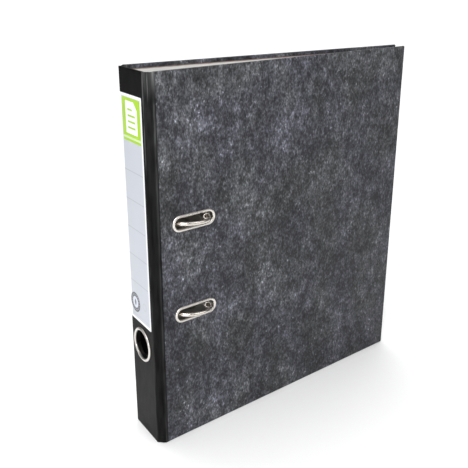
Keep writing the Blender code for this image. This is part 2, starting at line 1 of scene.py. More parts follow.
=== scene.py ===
"""Looks of the lever arch file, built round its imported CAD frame.

Pieces are drawn in "file coordinates", in millimetres: X from the outer face of the spine to the
fore-edge, Y from the outer face of the front cover to the back cover, Z up from the bottom edge.
STANDING puts them in the frame; LEANING also turns the front cover in by its resting angle.
Every mesh keeps its file coordinates in the attribute "file_mm", so that a pattern stays on a
piece when the piece moves or bends.
"""
import math

import bmesh
import bpy
import numpy as np
from mathutils import Matrix, Vector, noise


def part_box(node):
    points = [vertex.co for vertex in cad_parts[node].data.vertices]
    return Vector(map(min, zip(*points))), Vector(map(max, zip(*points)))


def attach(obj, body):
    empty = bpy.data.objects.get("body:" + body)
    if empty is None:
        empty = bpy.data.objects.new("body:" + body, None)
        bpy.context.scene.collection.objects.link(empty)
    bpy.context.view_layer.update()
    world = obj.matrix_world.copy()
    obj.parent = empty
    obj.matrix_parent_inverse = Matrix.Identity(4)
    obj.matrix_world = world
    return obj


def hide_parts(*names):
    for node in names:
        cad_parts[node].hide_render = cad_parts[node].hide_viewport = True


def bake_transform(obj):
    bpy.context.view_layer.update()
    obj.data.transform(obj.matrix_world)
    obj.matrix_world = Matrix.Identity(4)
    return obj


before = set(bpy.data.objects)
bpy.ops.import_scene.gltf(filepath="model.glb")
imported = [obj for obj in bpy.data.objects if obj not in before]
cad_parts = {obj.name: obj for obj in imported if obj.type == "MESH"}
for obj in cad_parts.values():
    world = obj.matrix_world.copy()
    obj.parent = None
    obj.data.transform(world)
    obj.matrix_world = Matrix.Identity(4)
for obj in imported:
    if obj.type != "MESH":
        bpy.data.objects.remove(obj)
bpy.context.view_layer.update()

# -------- sizes, in millimetres
MM = 0.001
MERGE = 1e-4              # points closer than this are one point
HEIGHT = 318.0
DEPTH = 292.0
WIDTH = 51.0
PINCH = math.radians(6.8)
HINGE = 1.6               # hinge axes, in from the outer faces
STRIP_END = 8.45          # where the covering paper begins on a cover
BOARD_EDGE = 6.1          # where the cover boards begin
CORE = 2.4                # a board with its covering
TURN_IN = 2.9             # covering paper folded in round a cover's edges
BACK_FOLD = WIDTH - 5.15  # Y where the two pieces of the black strip meet
BACKING = 0.22            # paper that lines the spine and the hinges
BACKING_MEETS = 26.0      # Y where the two pieces of that paper meet
INNER_SHADE_EDGE = 20.0        # where the painted shade, drawn black on the lining, ends on the inside of a cover
BEND_START = (0.15, 3.05)  # X and Y between which the front hinge bends
BEND_END = (3.4, -0.2)

SPINE_MID = 26.9
LABEL = ((7.9, 45.9), (106.6, 298.6))
RING_Z = 86.4
RING_HOLE = 12.7
RING_OUTER = 15.2

SLOT_X = 40.4
SLOT_LENGTH = 37.8
SLOT_HEIGHT = 9.5
RIM_WIDTH = 2.4
RIM_INSET = 0.15          # how far a rim reaches in past the slot's outline
RIM_CUT = 0.55            # how far a board is cut back behind a rim or the finger ring
CLOSED_AT = 2.85          # depth at which a rim or the finger ring is closed over its board

MID_Z = 157.8             # middle of the mechanism
ARCH_Z = (117.8, 197.8)
PLATE_X = (14.0, 66.0)
PLATE_Z = (95.8, 219.8)
PLATE_TOP = 47.0          # inner face of the base plate
PLATE_ROOT = 47.5         # middle of its 1 mm sheet
SEAT = PLATE_TOP - 0.15   # where posts and rivets stand on it
RIVET_INSET = 6.0
WIRE = 1.75
BOW = (24.0, 44.6)        # X and Y of the bow's axis
POST_X = 54.0
POST_TOP = 6.8            # Y of a post's highest point
PIN = (50.0, 43.0)        # X and Y of the lever's axis
LEVER_HALF = 13.0         # half its width there
ROLLER = (33.6, 38.55)    # X and Y of the roller's axis
BAR_Y = 40.5              # inner face of the compressor bar

SHIFT = Vector((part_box("spine_strip")[0].x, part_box("back_cover_paper")[1].y - WIDTH * MM, 0.0))
STANDING = Matrix.Translation(SHIFT) @ Matrix.Scale(MM, 4)
AXIS = Vector((HINGE, HINGE, 0.0))
TURN = Matrix.Translation(AXIS) @ Matrix.Rotation(PINCH, 4, "Z") @ Matrix.Translation(-AXIS)
LEANING = STANDING @ TURN


# -------- mesh building
def placed(name, data):
    """A new object in the scene."""
    made = bpy.data.objects.new(name, data)
    bpy.context.scene.collection.objects.link(made)
    return made


def shape_of(points, faces):
    """A mesh from points and faces."""
    mesh = bpy.data.meshes.new("shape")
    mesh.from_pydata([tuple(p) for p in points], [], faces)
    return mesh


def clean(mesh):
    """Merge doubled points and make the faces of each closed shell point out."""
    shape = bmesh.new()
    shape.from_mesh(mesh)
    bmesh.ops.remove_doubles(shape, verts=shape.verts, dist=MERGE)
    bmesh.ops.dissolve_degenerate(shape, edges=shape.edges, dist=MERGE / 10)
    bmesh.ops.recalc_face_normals(shape, faces=shape.faces)
    shape.to_mesh(mesh)
    shape.free()
    return mesh


def loft(rings, loop=False, caps=True):
    """A skin over rings of points, each ring closed; loop joins the last ring to the first."""
    count = len(rings[0])
    points = [p for ring in rings for p in ring]
    faces = []
    pairs = list(range(len(rings) - 1)) + ([-1] if loop else [])
    for row in pairs:
        low, high = (row % len(rings)) * count, ((row + 1) % len(rings)) * count
        for i in range(count):
            j = (i + 1) % count
            faces.append((low + i, low + j, high + j, high + i))
    if caps and not loop:
        faces.append(tuple(range(count)))
        faces.append(tuple(range(len(points) - count, len(points))))
    return clean(shape_of(points, faces))


def full_turn(sides):
    """The angles of evenly spaced points on a circle."""
    return [2 * math.pi * k / sides for k in range(sides)]


def turned(profile, place, closed=False, sides=72):
    """Turn (radius, height) points about Z, then move the piece."""
    rings = []
    for radius, height in profile:
        ring = [Vector((radius * math.cos(a), radius * math.sin(a), height)) for a in full_turn(sides)]
        rings.append([place @ point for point in ring])
    return loft(rings, loop=closed, caps=False)


def wire(points, radius, sides, tips=()):
    """A round wire with domed ends through the points; tips gives (index, share of the radius)."""
    dome = 0.8
    path = [Vector(p) for p in points]
    share = dict(tips)
    tangents = [(path[min(i + 1, len(path) - 1)] - path[max(i - 1, 0)]).normalized()
                for i in range(len(path))]
    side = tangents[0].orthogonal().normalized()
    rings = []
    for index, (place, along) in enumerate(zip(path, tangents)):
        side = (side - along * side.dot(along)).normalized()
        other = along.cross(side)
        r = radius * share.get(index, 1.0)
        rings.append([place + (side * math.cos(a) + other * math.sin(a)) * r for a in full_turn(sides)])
    for end, along in ((0, -tangents[0]), (-1, tangents[-1])):
        centre = path[end]
        rise = radius * share.get(end % len(path), 1.0) * dome
        rounds = [[centre + (p - centre) * math.cos(t) + along * rise * math.sin(t)
                   for p in rings[end]] for t in (math.radians(25), math.radians(50), math.radians(75))]
        rings = rounds[::-1] + rings if end == 0 else rings + rounds
    return loft(rings)


def plate(outlines, thickness, place, edge=0.15):
    """A flat plate with rounded edges, from its outline and the outlines of its holes."""
    curve = bpy.data.curves.new("outline", "CURVE")
    curve.dimensions = "2D"
    curve.fill_mode = "BOTH"
    curve.extrude = thickness / 2 - edge
    curve.bevel_depth = edge
    curve.bevel_resolution = 2
    curve.offset = -edge
    for outline in outlines:
        spline = curve.splines.new("POLY")
        spline.points.add(len(outline) - 1)
        for point, (u, v) in zip(spline.points, outline):
            point.co = (u, v, 0.0, 1.0)
        spline.use_cyclic_u = True
    mesh = finished(placed("outline", curve))
    mesh.transform(place)
    return clean(mesh)


def finished(source):
    """An object's mesh with its modifiers applied; the object is removed."""
    bpy.context.view_layer.update()
    graph = bpy.context.evaluated_depsgraph_get()
    mesh = bpy.data.meshes.new_from_object(source.evaluated_get(graph))
    bpy.data.objects.remove(source)
    mesh.materials.clear()
    return mesh


def modified(mesh, *steps):
    """A mesh put through modifiers, each given as (type, settings)."""
    holder = placed("holder", mesh)
    for kind, settings in steps:
        step = holder.modifiers.new(kind.lower(), kind)
        for key, value in settings.items():
            setattr(step, key, value)
    return finished(holder)


def bevel(width, segments, angle):
    """A modifier that rounds the edges sharper than an angle in degrees."""
    return "BEVEL", dict(width=width, segments=segments, limit_method="ANGLE",
                         angle_limit=math.radians(angle))


def cut(mesh, tools):
    """Cut closed tool meshes out of a mesh."""
    knives = [placed("knife", tool) for tool in tools]
    steps = [("BOOLEAN", dict(operation="DIFFERENCE", solver="EXACT", object=knife)) for knife in knives]
    mesh = modified(mesh, *steps)
    for knife in knives:
        bpy.data.objects.remove(knife)
    return mesh


def joined(meshes):
    """Several meshes as one."""
    shape = bmesh.new()
    for mesh in meshes:
        shape.from_mesh(mesh)
    mesh = bpy.data.meshes.new("joined")
    shape.to_mesh(mesh)
    shape.free()
    return mesh


def block(x, y, z):
    """A box between two limits on each axis."""
    outline = ((x[0], y[0]), (x[1], y[0]), (x[1], y[1]), (x[0], y[1]))
    corners = [(i, j, k) for k in z for i, j in outline]
    faces = [(3, 2, 1, 0), (4, 5, 6, 7), (0, 1, 5, 4), (1, 2, 6, 5), (2, 3, 7, 6), (3, 0, 4, 7)]
    return shape_of(corners, faces)


def arc(centre, radius, start, end, count):
    """Points on an arc, angles in degrees; a radius may be a pair for an ellipse."""
    along, across = radius if isinstance(radius, tuple) else (radius, radius)
    turns = [math.radians(start + (end - start) * index / count) for index in range(count + 1)]
    return [(centre[0] + along * math.cos(t), centre[1] + across * math.sin(t)) for t in turns]


def obround(z, radius):
    """The outline of a cover slot at a given radius, in X and Z."""
    reach = (SLOT_LENGTH - SLOT_HEIGHT) / 2
    return (arc((SLOT_X + reach, z), radius, -90, 90, 24)
            + arc((SLOT_X - reach, z), radius, 90, 270, 24))


def circle(centre, radius):
    """A circle's outline."""
    sides = 64
    return arc(centre, radius, 0, 360 - 360 / sides, sides - 1)


def rounded(corners, radius):
    """A polygon, counter-clockwise, with its corners rounded."""
    steps = 8
    outline = []
    for index, corner in enumerate(corners):
        here = Vector(corner)
        before = (Vector(corners[index - 1]) - here).normalized()
        after = (Vector(corners[(index + 1) % len(corners)]) - here).normalized()
        half = before.angle(after) / 2
        centre = here + (before + after).normalized() * radius / math.sin(half)
        first = here + before * radius / math.tan(half)
        last = here + after * radius / math.tan(half)
        for step in range(steps + 1):
            reach = first.lerp(last, step / steps) - centre
            outline.append(tuple(centre + reach.normalized() * radius))
    return outline


def rectangle(x, z):
    """A rectangle's corners, counter-clockwise."""
    return [(x[0], z[0]), (x[1], z[0]), (x[1], z[1]), (x[0], z[1])]


def mirrored(line):
    """A line in X and Y, carried over to the other side of the spine."""
    return [(x, WIDTH - y) for x, y in line]


def in_cover_plane(y):
    """Puts a sketch's (u, v) at X = u and Z = v, at the given Y."""
    return Matrix.Translation((0.0, y, 0.0)) @ Matrix.Rotation(math.radians(90), 4, "X")


def along_y(x, y, z):
    """Puts a turned piece's height along Y."""
    return Matrix.Translation((x, y, z)) @ Matrix.Rotation(math.radians(-90), 4, "X")


def through_spine():
    """Puts a turned piece's height along X, through the finger hole."""
    return Matrix.Translation((0, SPINE_MID, RING_Z)) @ Matrix.Rotation(math.radians(90), 4, "Y")


def add(name, mesh, look, nodes, body=None, place=STANDING, smooth=35, bend=None):
    """Put a mesh drawn in file coordinates into the scene, on its body, or, given a bend, on no body with
    its placing baked into its points.
    """
    where = mesh.attributes.new("file_mm", "FLOAT_VECTOR", "POINT")
    co = np.empty(len(mesh.vertices) * 3, np.float32)
    mesh.vertices.foreach_get("co", co)
    where.data.foreach_set("vector", co)
    mesh.transform(place)
    mesh.shade_smooth()
    mesh.set_sharp_from_angle(angle=math.radians(smooth))
    mesh.name = name
    mesh.materials.append(look)
    piece = placed(name, mesh)
    if bend:
        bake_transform(piece)
    else:
        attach(piece, body)
    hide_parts(*nodes)


# -------- materials
class Graph:
    """A material built from nodes. Its patterns are laid out in millimetres: in file coordinates,
    or, on a CAD node or the stage, in the object's own."""

    def __init__(self, name, on_cad=False):
        self.material = bpy.data.materials.new(name)
        self.material.use_nodes = True
        self.nodes = self.material.node_tree.nodes
        self.links = self.material.node_tree.links
        self.shader = self.nodes["Principled BSDF"]
        if on_cad:
            source = self.nodes.new("ShaderNodeTexCoord").outputs["Object"]
            scaled = self.nodes.new("ShaderNodeVectorMath")
            scaled.operation = "SCALE"
            scaled.inputs["Scale"].default_value = 1 / MM
            self.links.new(source, scaled.inputs[0])
            self.where = scaled.outputs[0]
        else:
            source = self.nodes.new("ShaderNodeAttribute")
            source.attribute_name = "file_mm"
            self.where = source.outputs["Vector"]
        split = self.nodes.new("ShaderNodeSeparateXYZ")
        self.links.new(self.where, split.inputs[0])
        self.x, self.y, self.z = split.outputs

    def put(self, socket, value):
        """Feed a socket from another one, or with a value."""
        if isinstance(value, bpy.types.NodeSocket):
            self.links.new(value, socket)
        elif socket.type == "RGBA":
            socket.default_value = (*value, 1.0)
        else:
            socket.default_value = value

    def math(self, operation, *values):
        node = self.nodes.new("ShaderNodeMath")
        node.operation = operation
        for socket, value in zip(node.inputs, values):
            self.put(socket, value)
        return node.outputs[0]

    def total(self, *terms):
        result = terms[0]
        for term in terms[1:]:
            result = self.math("ADD", result, term)
        return result

    def product(self, *factors):
        result = factors[0]
        for factor in factors[1:]:
            result = self.math("MULTIPLY", result, factor)
        return result

    def noise(self, size, detail=2.0, stretch=(1, 1, 1), shift=0.0, roughness=0.5):
        """A noise about 0, with features of the given size; stretch makes them longer on an axis."""
        mapping = self.nodes.new("ShaderNodeMapping")
        mapping.inputs["Location"].default_value = (shift, shift * 1.7, shift * 0.6)
        mapping.inputs["Scale"].default_value = [1.0 / (size * s) for s in stretch]
        self.links.new(self.where, mapping.inputs["Vector"])
        texture = self.nodes.new("ShaderNodeTexNoise")
        texture.inputs["Scale"].default_value = 1.0
        texture.inputs["Detail"].default_value = detail
        texture.inputs["Roughness"].default_value = roughness
        self.links.new(mapping.outputs[0], texture.inputs["Vector"])
        return self.math("SUBTRACT", texture.outputs[0], 0.5)

    def cells(self, size):
        """A random value for each cell of about the given size."""
        mapping = self.nodes.new("ShaderNodeMapping")
        mapping.inputs["Scale"].default_value = (1 / size, 1 / size, 1 / size)
        self.links.new(self.where, mapping.inputs["Vector"])
        texture = self.nodes.new("ShaderNodeTexVoronoi")
        texture.inputs["Scale"].default_value = 1.0
        self.links.new(mapping.outputs[0], texture.inputs["Vector"])
        split = self.nodes.new("ShaderNodeSeparateColor")
        self.links.new(texture.outputs["Color"], split.inputs[0])
        return split.outputs[0]

    def step(self, value, low, high, before=0.0, after=1.0):
        """Rises smoothly from before at low to after at high."""
        node = self.nodes.new("ShaderNodeMapRange")
        node.interpolation_type = "SMOOTHSTEP"
        self.put(node.inputs["Value"], value)
        ends = {"From Min": low, "From Max": high, "To Min": before, "To Max": after}
        for socket, number in ends.items():
            node.inputs[socket].default_value = number
        return node.outputs[0]

    def band(self, value, centre, half, soft):
        """1 within half of the centre, falling to 0 over soft."""
        away = self.math("ABSOLUTE", self.math("SUBTRACT", value, centre))
        return self.step(away, half, half + soft, 1.0, 0.0)

    def mix(self, factor, first, second, blend="MIX"):
        node = self.nodes.new("ShaderNodeMix")
        node.data_type = "RGBA"
        node.blend_type = blend
        self.put(node.inputs["Factor"], factor)
        self.put(node.inputs[6], first)
        self.put(node.inputs[7], second)
        return node.outputs[2]

    def grey(self, value):
        node = self.nodes.new("ShaderNodeCombineColor")
        for socket in node.inputs:
            self.put(socket, value)
        return node.outputs[0]

    def tinted(self, tone, tint):
        """A colour from a tone and a tint."""
        return self.mix(1.0, self.grey(tone), tint, "MULTIPLY")

    def bump(self, height, distance, strength):
        """Relief in the surface, its distance in millimetres."""
        node = self.nodes.new("ShaderNodeBump")
        node.inputs["Strength"].default_value = strength
        node.inputs["Distance"].default_value = distance * MM
        self.put(node.inputs["Height"], height)
        self.put(self.shader.inputs["Normal"], node.outputs[0])

    def finish(self, colour, roughness, metallic=0.0, specular=0.5):
        self.put(self.shader.inputs["Base Color"], colour)
        self.put(self.shader.inputs["Roughness"], roughness)
        self.shader.inputs["Metallic"].default_value = metallic
        self.shader.inputs["Specular IOR Level"].default_value = specular
        return self.material


def cloud_paper():
    """Dark paper with pale cloudy patches, upright fibres and light flecks, and a painted sheen, lighter
    towards the top and the spine. The layers add up to an exponent, so that light ones stand out more
    than dark ones."""
    g = Graph("cloud_paper")
    ground = 0.0455
    # painted sheen: the paper is made lighter towards the top and towards the spine, where more light
    # falls on the cover
    painted_sheen = g.total(g.step(g.z, 110, HEIGHT, -0.01, 0.19), g.step(g.x, 0, DEPTH, 0.09, -0.09))
    clouds_and_sheen = g.total(g.product(g.noise(40, 2, (1, 1, 1.3), 77), 2.15), painted_sheen)
    blotches = g.product(g.noise(9.0, 2, (1, 1, 1.4), 3), 2.7)
    mottle = g.product(g.noise(2.7, 2, (1, 1, 1.4), 23), 3.1)
    fibres = g.product(g.noise(1.0, 2, (1, 1, 1.9), 5), 3.6)
    clusters = g.step(g.noise(13, 2, (1, 1, 1.6), 41), -0.10, 0.16, 0.25, 1.6)
    flecks = g.product(g.step(g.noise(1.8, 1.5, (1, 1, 1.4), 31), 0.10, 0.30), clusters)
    tone = g.total(clouds_and_sheen, blotches, mottle, fibres, flecks)
    light = g.product(g.math("EXPONENT", tone), ground)
    hue = g.step(g.noise(42, 1, (1, 1, 1.4), 57), -0.12, 0.12)
    tint = g.mix(hue, (0.945, 0.965, 1.16), (0.965, 1.0, 1.08))
    g.bump(g.total(g.product(fibres, 0.5), g.noise(0.5, 2, (1, 1, 1.5), 7)), 0.12, 0.6)
    rough = g.total(g.product(mottle, 0.06), 0.60)
    return g.finish(g.tinted(light, tint), rough, specular=0.22)


def black_film():
    """Black coated strip, fine grained, with painted highlights along its folds, brightest towards the
    top, and a painted sheen in the hinges, lighter towards the top.
    "Across" is the way round a hinge: 0 at its corner, below 0 on the spine, above 0 on a cover."""
    g = Graph("black_film")
    from_side = g.math("MINIMUM", g.y, g.math("SUBTRACT", WIDTH, g.y))
    across = g.math("SUBTRACT", g.x, from_side)
    # painted highlights: streaks of light along the folds and the crease, brightest towards the top,
    # where light catches the bends of the strip
    highlight_streaks = g.step(g.noise(2.4, 3, (1, 1, 9), 2), -0.16, 0.18)
    near_top = g.step(g.z, 205, 316, 0.25, 1.0)
    spine_fold = g.band(across, -4.9, 0.25, 0.75)
    cover_fold = g.product(g.band(across, 6.0, 0.3, 0.6), 0.75)
    folds = g.math("MAXIMUM", spine_fold, cover_fold)
    crease = g.product(g.band(across, 0.3, 0.1, 0.5), g.step(g.z, 290, 312))
    painted_fold_highlight = g.product(g.math("MAXIMUM", folds, crease), highlight_streaks, near_top)
    lint = g.product(g.step(g.noise(0.8, 2, (1, 1, 3), 9), 0.2, 0.34), 0.010)
    at_cover = g.total(g.product(g.band(across, 7.2, 1.2, 2.2), 0.9), 0.7)
    in_hinge = g.product(g.band(across, 1.8, 6.3, 0.9), at_cover)
    # painted sheen: the hinges are made lighter towards the top, most of all at the top edge
    rising = g.total(g.step(g.z, 170, 290, 0.009, 0.015), g.step(g.z, 294, 326, 0.0, 0.05))
    painted_hinge_sheen = g.product(rising, g.step(g.noise(3.0, 3, (1, 1, 7), 12), -0.22, 0.16, 0.35, 1.25))
    cloudy = g.product(g.noise(22, 2, (1, 1, 2), 4), 0.003)
    base = g.total(cloudy, lint, 0.0014, g.product(painted_hinge_sheen, in_hinge))
    light = g.total(base, g.product(painted_fold_highlight, 0.09))
    grain = g.total(g.product(g.noise(0.45, 2, shift=13), 0.6), g.noise(1.6, 2, (1, 1, 2.4), 8))
    g.bump(grain, 0.05, 0.55)
    rough = g.total(g.product(g.noise(7, 3, (1, 1, 2), 6), 0.16), g.product(painted_fold_highlight, 0.2), 0.40)
    return g.finish(g.tinted(light, (0.99, 1.0, 1.015)), rough, specular=0.04)


def lining_paper(name, on_cad):
    """White backing paper with a faint cloudiness; a painted shadow darkens its trimmed top edge. Near
    the spine it is drawn black as painted shade, reaching less far from the spine at its ends."""
    g = Graph(name, on_cad)
    from_spine = g.math("SUBTRACT", g.x, SHIFT.x / MM if on_cad else 0.0)
    cloudy = g.product(g.noise(18, 3, shift=4), 0.16)
    fibre = g.product(g.noise(1.1, 2, (1.6, 1, 1), 6), 0.09)
    paper = g.total(g.total(cloudy, fibre), 0.70)
    colour = g.tinted(paper, (1.0, 0.985, 0.95))
    # painted shadow: a dark reddish-brown band along the top edge of the lining, below the folded-in
    # cover paper
    wander = g.product(g.noise(14, 2, shift=9), 0.9)
    margin = g.step(g.total(g.z, wander), HEIGHT - 4.6, HEIGHT - 3.6)
    shadow_lined = g.mix(g.product(margin, 0.85), colour, (0.13, 0.055, 0.04))
    # painted shade: the lining is drawn near black close to the spine, where the inside of the file lies
    # in shade; at the top and bottom ends it reaches 9 mm less far
    near, far = 12, 24
    ends = g.math("MAXIMUM", g.step(g.z, HEIGHT - far, HEIGHT - near), g.step(g.z, near, far, 1.0, 0.0))
    edge = g.total(from_spine, g.product(wander, 0.3), g.product(ends, 9.0))
    strip = g.step(edge, INNER_SHADE_EDGE - 0.2, INNER_SHADE_EDGE + 0.2)
    black = g.grey(g.total(g.product(g.noise(9, 3, (1, 1, 2), 15), 0.008), 0.012))
    g.bump(g.noise(0.7, 2, shift=3), 0.04, 0.5)
    return g.finish(g.mix(strip, black, shadow_lined), 0.72, specular=0.2)


def label_print():
    """Printed spine label: a green block with a plain page mark, ruled lines, and two small marks."""
    g = Graph("label_print")
    (left, right), (bottom, top) = LABEL
    ink = (0.33, 0.34, 0.38)
    pale_ink = (0.35, 0.36, 0.4)
    white = (0.80, 0.83, 0.88)

    def box(y, z, edge=0.18):
        return g.product(g.band(g.y, (y[0] + y[1]) / 2, (y[1] - y[0]) / 2, edge),
                         g.band(g.z, (z[0] + z[1]) / 2, (z[1] - z[0]) / 2, edge))

    def distance(y, z):
        dy, dz = g.math("SUBTRACT", g.y, y), g.math("SUBTRACT", g.z, z)
        return g.math("SQRT", g.total(g.product(dy, dy), g.product(dz, dz)))

    tone = g.total(g.product(g.noise(26, 2, shift=5), 0.05), 1.0)
    paper = g.tinted(tone, (0.84, 0.85, 0.88))
    panel = g.tinted(tone, (0.492, 0.514, 0.564))
    colour = g.mix(box((left + 2.0, right - 3.4), (bottom + 2.6, top - 2.4), 0.5), paper, panel)

    green = g.tinted(tone, (0.36, 0.585, 0.027))
    across = (10.6, 42.0)
    colour = g.mix(box(across, (262.3, 295.8)), colour, green)
    corner = g.step(g.math("SUBTRACT", g.z, g.y), 271.6, 272.0, 1.0, 0.0)
    sheet = g.product(box((16.0, 36.0), (268.6, 293.4)), corner)
    colour = g.mix(sheet, colour, white)
    for z, start in ((287.0, 24.5), (282.4, 19.5), (277.8, 19.5), (273.2, 19.5)):
        colour = g.mix(box((start, 32.5), (z - 0.7, z + 0.7)), colour, green)
    colour = g.mix(g.product(box(across, (264.4, 266.0)), 0.45), colour, white)

    spacing = 24.0
    for number in range(5):
        z = 238.3 - spacing * number
        line = box((10.6, 43.0), (z - 0.2, z + 0.2), 0.25)
        colour = g.mix(g.product(line, 0.75), colour, ink)

    mark_y, mark_z = 36.0, 123.0
    reach = distance(mark_y, mark_z)
    around = g.math("ARCTAN2", g.math("SUBTRACT", g.z, mark_z), g.math("SUBTRACT", g.y, mark_y))
    dashes = g.step(g.math("SINE", g.product(around, 18.0)), -0.2, 0.4)
    dashed = g.product(g.band(reach, 6.9, 0.55, 0.3), dashes)
    colour = g.mix(g.step(reach, 8.6, 8.9, 1.0, 0.0), colour, (0.065, 0.068, 0.085))
    colour = g.mix(g.product(dashed, 0.65), colour, (0.5, 0.52, 0.58))
    colour = g.mix(g.step(reach, 5.0, 5.3, 1.0, 0.0), colour, (0.62, 0.65, 0.72))
    leaf = g.math("MAXIMUM", distance(mark_y - 2.1, mark_z), distance(mark_y + 2.1, mark_z))
    colour = g.mix(g.step(leaf, 3.5, 3.8, 1.0, 0.0), colour, (0.12, 0.125, 0.15))
    small = g.band(distance(18.4, 124.8), 3.1, 0.25, 0.3)
    colour = g.mix(g.product(small, 0.4), colour, pale_ink)
    colour = g.mix(g.product(box((12.0, 42.0), (111.7, 112.1), 0.3), 0.4), colour, pale_ink)
    g.bump(g.noise(1.3, 3, shift=2), 0.03, 0.4)
    rough = g.total(g.product(g.noise(9, 2, shift=3), 0.1), 0.42)
    return g.finish(colour, rough, specular=0.4)


def metal(name, colour, rough, spangle=0.0, streaks=(1, 1, 1), shade_beyond=None):
    """Plated or bare metal: roughness and tone wander, with fine scratches along the stretch.
    Beyond an X, if one is given, it is darkened with painted shade."""
    g = Graph(name)
    scratch = g.noise(0.5, 3, streaks, 3, 0.65)
    patches = g.noise(6, 3, shift=8)
    tone = g.total(g.product(patches, 0.25), g.product(scratch, 0.14), 1.0)
    if spangle:
        tone = g.total(tone, g.product(g.math("SUBTRACT", g.cells(2.6), 0.5), spangle))
    # painted shade: darkened beyond the given X, down inside a hollow
    if shade_beyond is not None:
        tone = g.product(tone, g.step(g.x, shade_beyond, shade_beyond + 0.5, 1.0, 0.12))
    g.bump(scratch, 0.02, 0.35)
    wander = g.total(g.product(patches, 0.22), g.product(scratch, 0.12), rough)
    return g.finish(g.tinted(tone, colour), wander, metallic=1.0)


def grained_plastic():
    """Black plastic with a fine grain."""
    g = Graph("grained_plastic")
    grain = g.noise(0.35, 2, shift=3)
    tone = g.total(g.product(g.noise(3, 2, shift=4), 0.012), g.product(grain, 0.008), 0.024)
    g.bump(grain, 0.03, 0.6)
    return g.finish(g.grey(tone), g.total(g.product(g.noise(2, 2), 0.15), 0.38))


def matt(name, patches, tone, glow=0.0):
    """A matt look for the stage, whose tone wanders a little; it may glow."""
    g = Graph(name, on_cad=True)
    shade = g.grey(g.total(g.product(g.noise(patches, 2), 0.02), tone))
    if glow:
        g.put(g.shader.inputs["Emission Color"], shade)
        g.shader.inputs["Emission Strength"].default_value = glow
        g.material.cycles.emission_sampling = "NONE"
    return g.finish(shade, 0.8, specular=0.2)


CLOUD = cloud_paper()
FILM = black_film()
LINING = lining_paper("lining_paper", False)
LABEL_PRINT = label_print()
NICKEL = metal("nickel_plate", (0.74, 0.70, 0.655), 0.29)
# painted shade: the finger ring's tube is darkened beyond 0.75 mm into the spine, where its inner wall
# lies in shade
RING_NICKEL = metal("nickel_ring", (0.70, 0.67, 0.635), 0.32, shade_beyond=0.25)
WIRE_NICKEL = metal("nickel_wire", (0.70, 0.655, 0.60), 0.2, streaks=(1, 1, 6))
ZINC = metal("zinc_steel", (0.56, 0.535, 0.50), 0.33, spangle=0.22, streaks=(1, 1, 8))
SPRING = metal("spring_steel", (0.40, 0.39, 0.38), 0.28)
PLASTIC = grained_plastic()


# -------- the case
def cover(side):
    """A cover's board in its marbled paper, folded in round the edges."""
    front = side == "front"
    folded = 0.18             # how far the folded-in paper stands up from the board
    shape = bmesh.new()
    shape.from_mesh(block((STRIP_END, DEPTH), (0.0, CORE + folded), (0.0, HEIGHT)))
    outer = [e for e in shape.edges if not all(abs(v.co.x - STRIP_END) < MERGE for v in e.verts)]
    bmesh.ops.bevel(shape, geom=outer, offset=0.85, segments=5, profile=0.5, affect="EDGES",
                    clamp_overlap=True)
    mesh = bpy.data.meshes.new("cover")
    shape.to_mesh(mesh)
    shape.free()
    tools = [block((0.0, DEPTH - TURN_IN), (CORE, 9.0), (TURN_IN, HEIGHT - TURN_IN))]
    if front:
        radius = SLOT_HEIGHT / 2 + RIM_CUT
        for z in ARCH_Z:
            tools.append(loft([[(x, y, v) for x, v in obround(z, radius)] for y in (-5.0, 8.0)]))
    else:
        for x, z in rivet_places():
            tools.append(turned([(0, -6), (2.1, -6), (2.1, 6), (0, 6)], along_y(x, 0, z), sides=32))
    mesh = cut(mesh, tools)
    if not front:
        mesh.transform(Matrix.Translation((0, WIDTH, 0)) @ Matrix.Diagonal((1, -1, 1, 1)))
        mesh.flip_normals()
    nodes = (f"{side}_board", f"{side}_cover_paper")
    add(f"{side}_cover_slab", mesh, CLOUD, nodes, f"{side}_cover",
        LEANING if front else STANDING)


def hinge_outer():
    """The outer line of the black strip round a hinge, from the spine to its end on the cover."""
    line = [(0.0, 6.2), (-0.05, 5.75), (-0.05, 5.45), (0.05, 5.15), (0.27, 4.88), (0.62, 4.55)]
    line += [(1.1, 4.1), (1.6, 3.62), (2.1, 3.14), (2.5, 2.76)]
    line += [(2.78, 2.56), (3.0, 2.32), (3.3, 1.98), (3.7, 1.55), (4.1, 1.2)]
    line += [(4.45, 0.98), (4.8, 0.82), (5.1, 0.68), (5.4, 0.46), (5.7, 0.22)]
    line += [(6.0, 0.06), (6.35, 0.0), (6.8, 0.04), (7.4, 0.08), (STRIP_END, 0.08)]
    return line


def hinge_inner():
    """The strip's inner line, with the ends of the spine board and the cover board it holds."""
    line = [(CORE, 5.6), (1.2, 5.45), (0.85, 5.2), (0.98, 4.9)]
    line += [(1.42, 4.42), (1.92, 3.94), (2.42, 3.46), (2.82, 3.08), (3.1, 2.85)]
    line += [(3.32, 2.62), (3.62, 2.28), (4.02, 1.87), (4.38, 1.58), (4.7, 1.42), (5.05, 1.32)]
    line += [(5.5, 1.3), (5.85, 1.35), (BOARD_EDGE, 1.55), (BOARD_EDGE, CORE), (STRIP_END, CORE)]
    return line


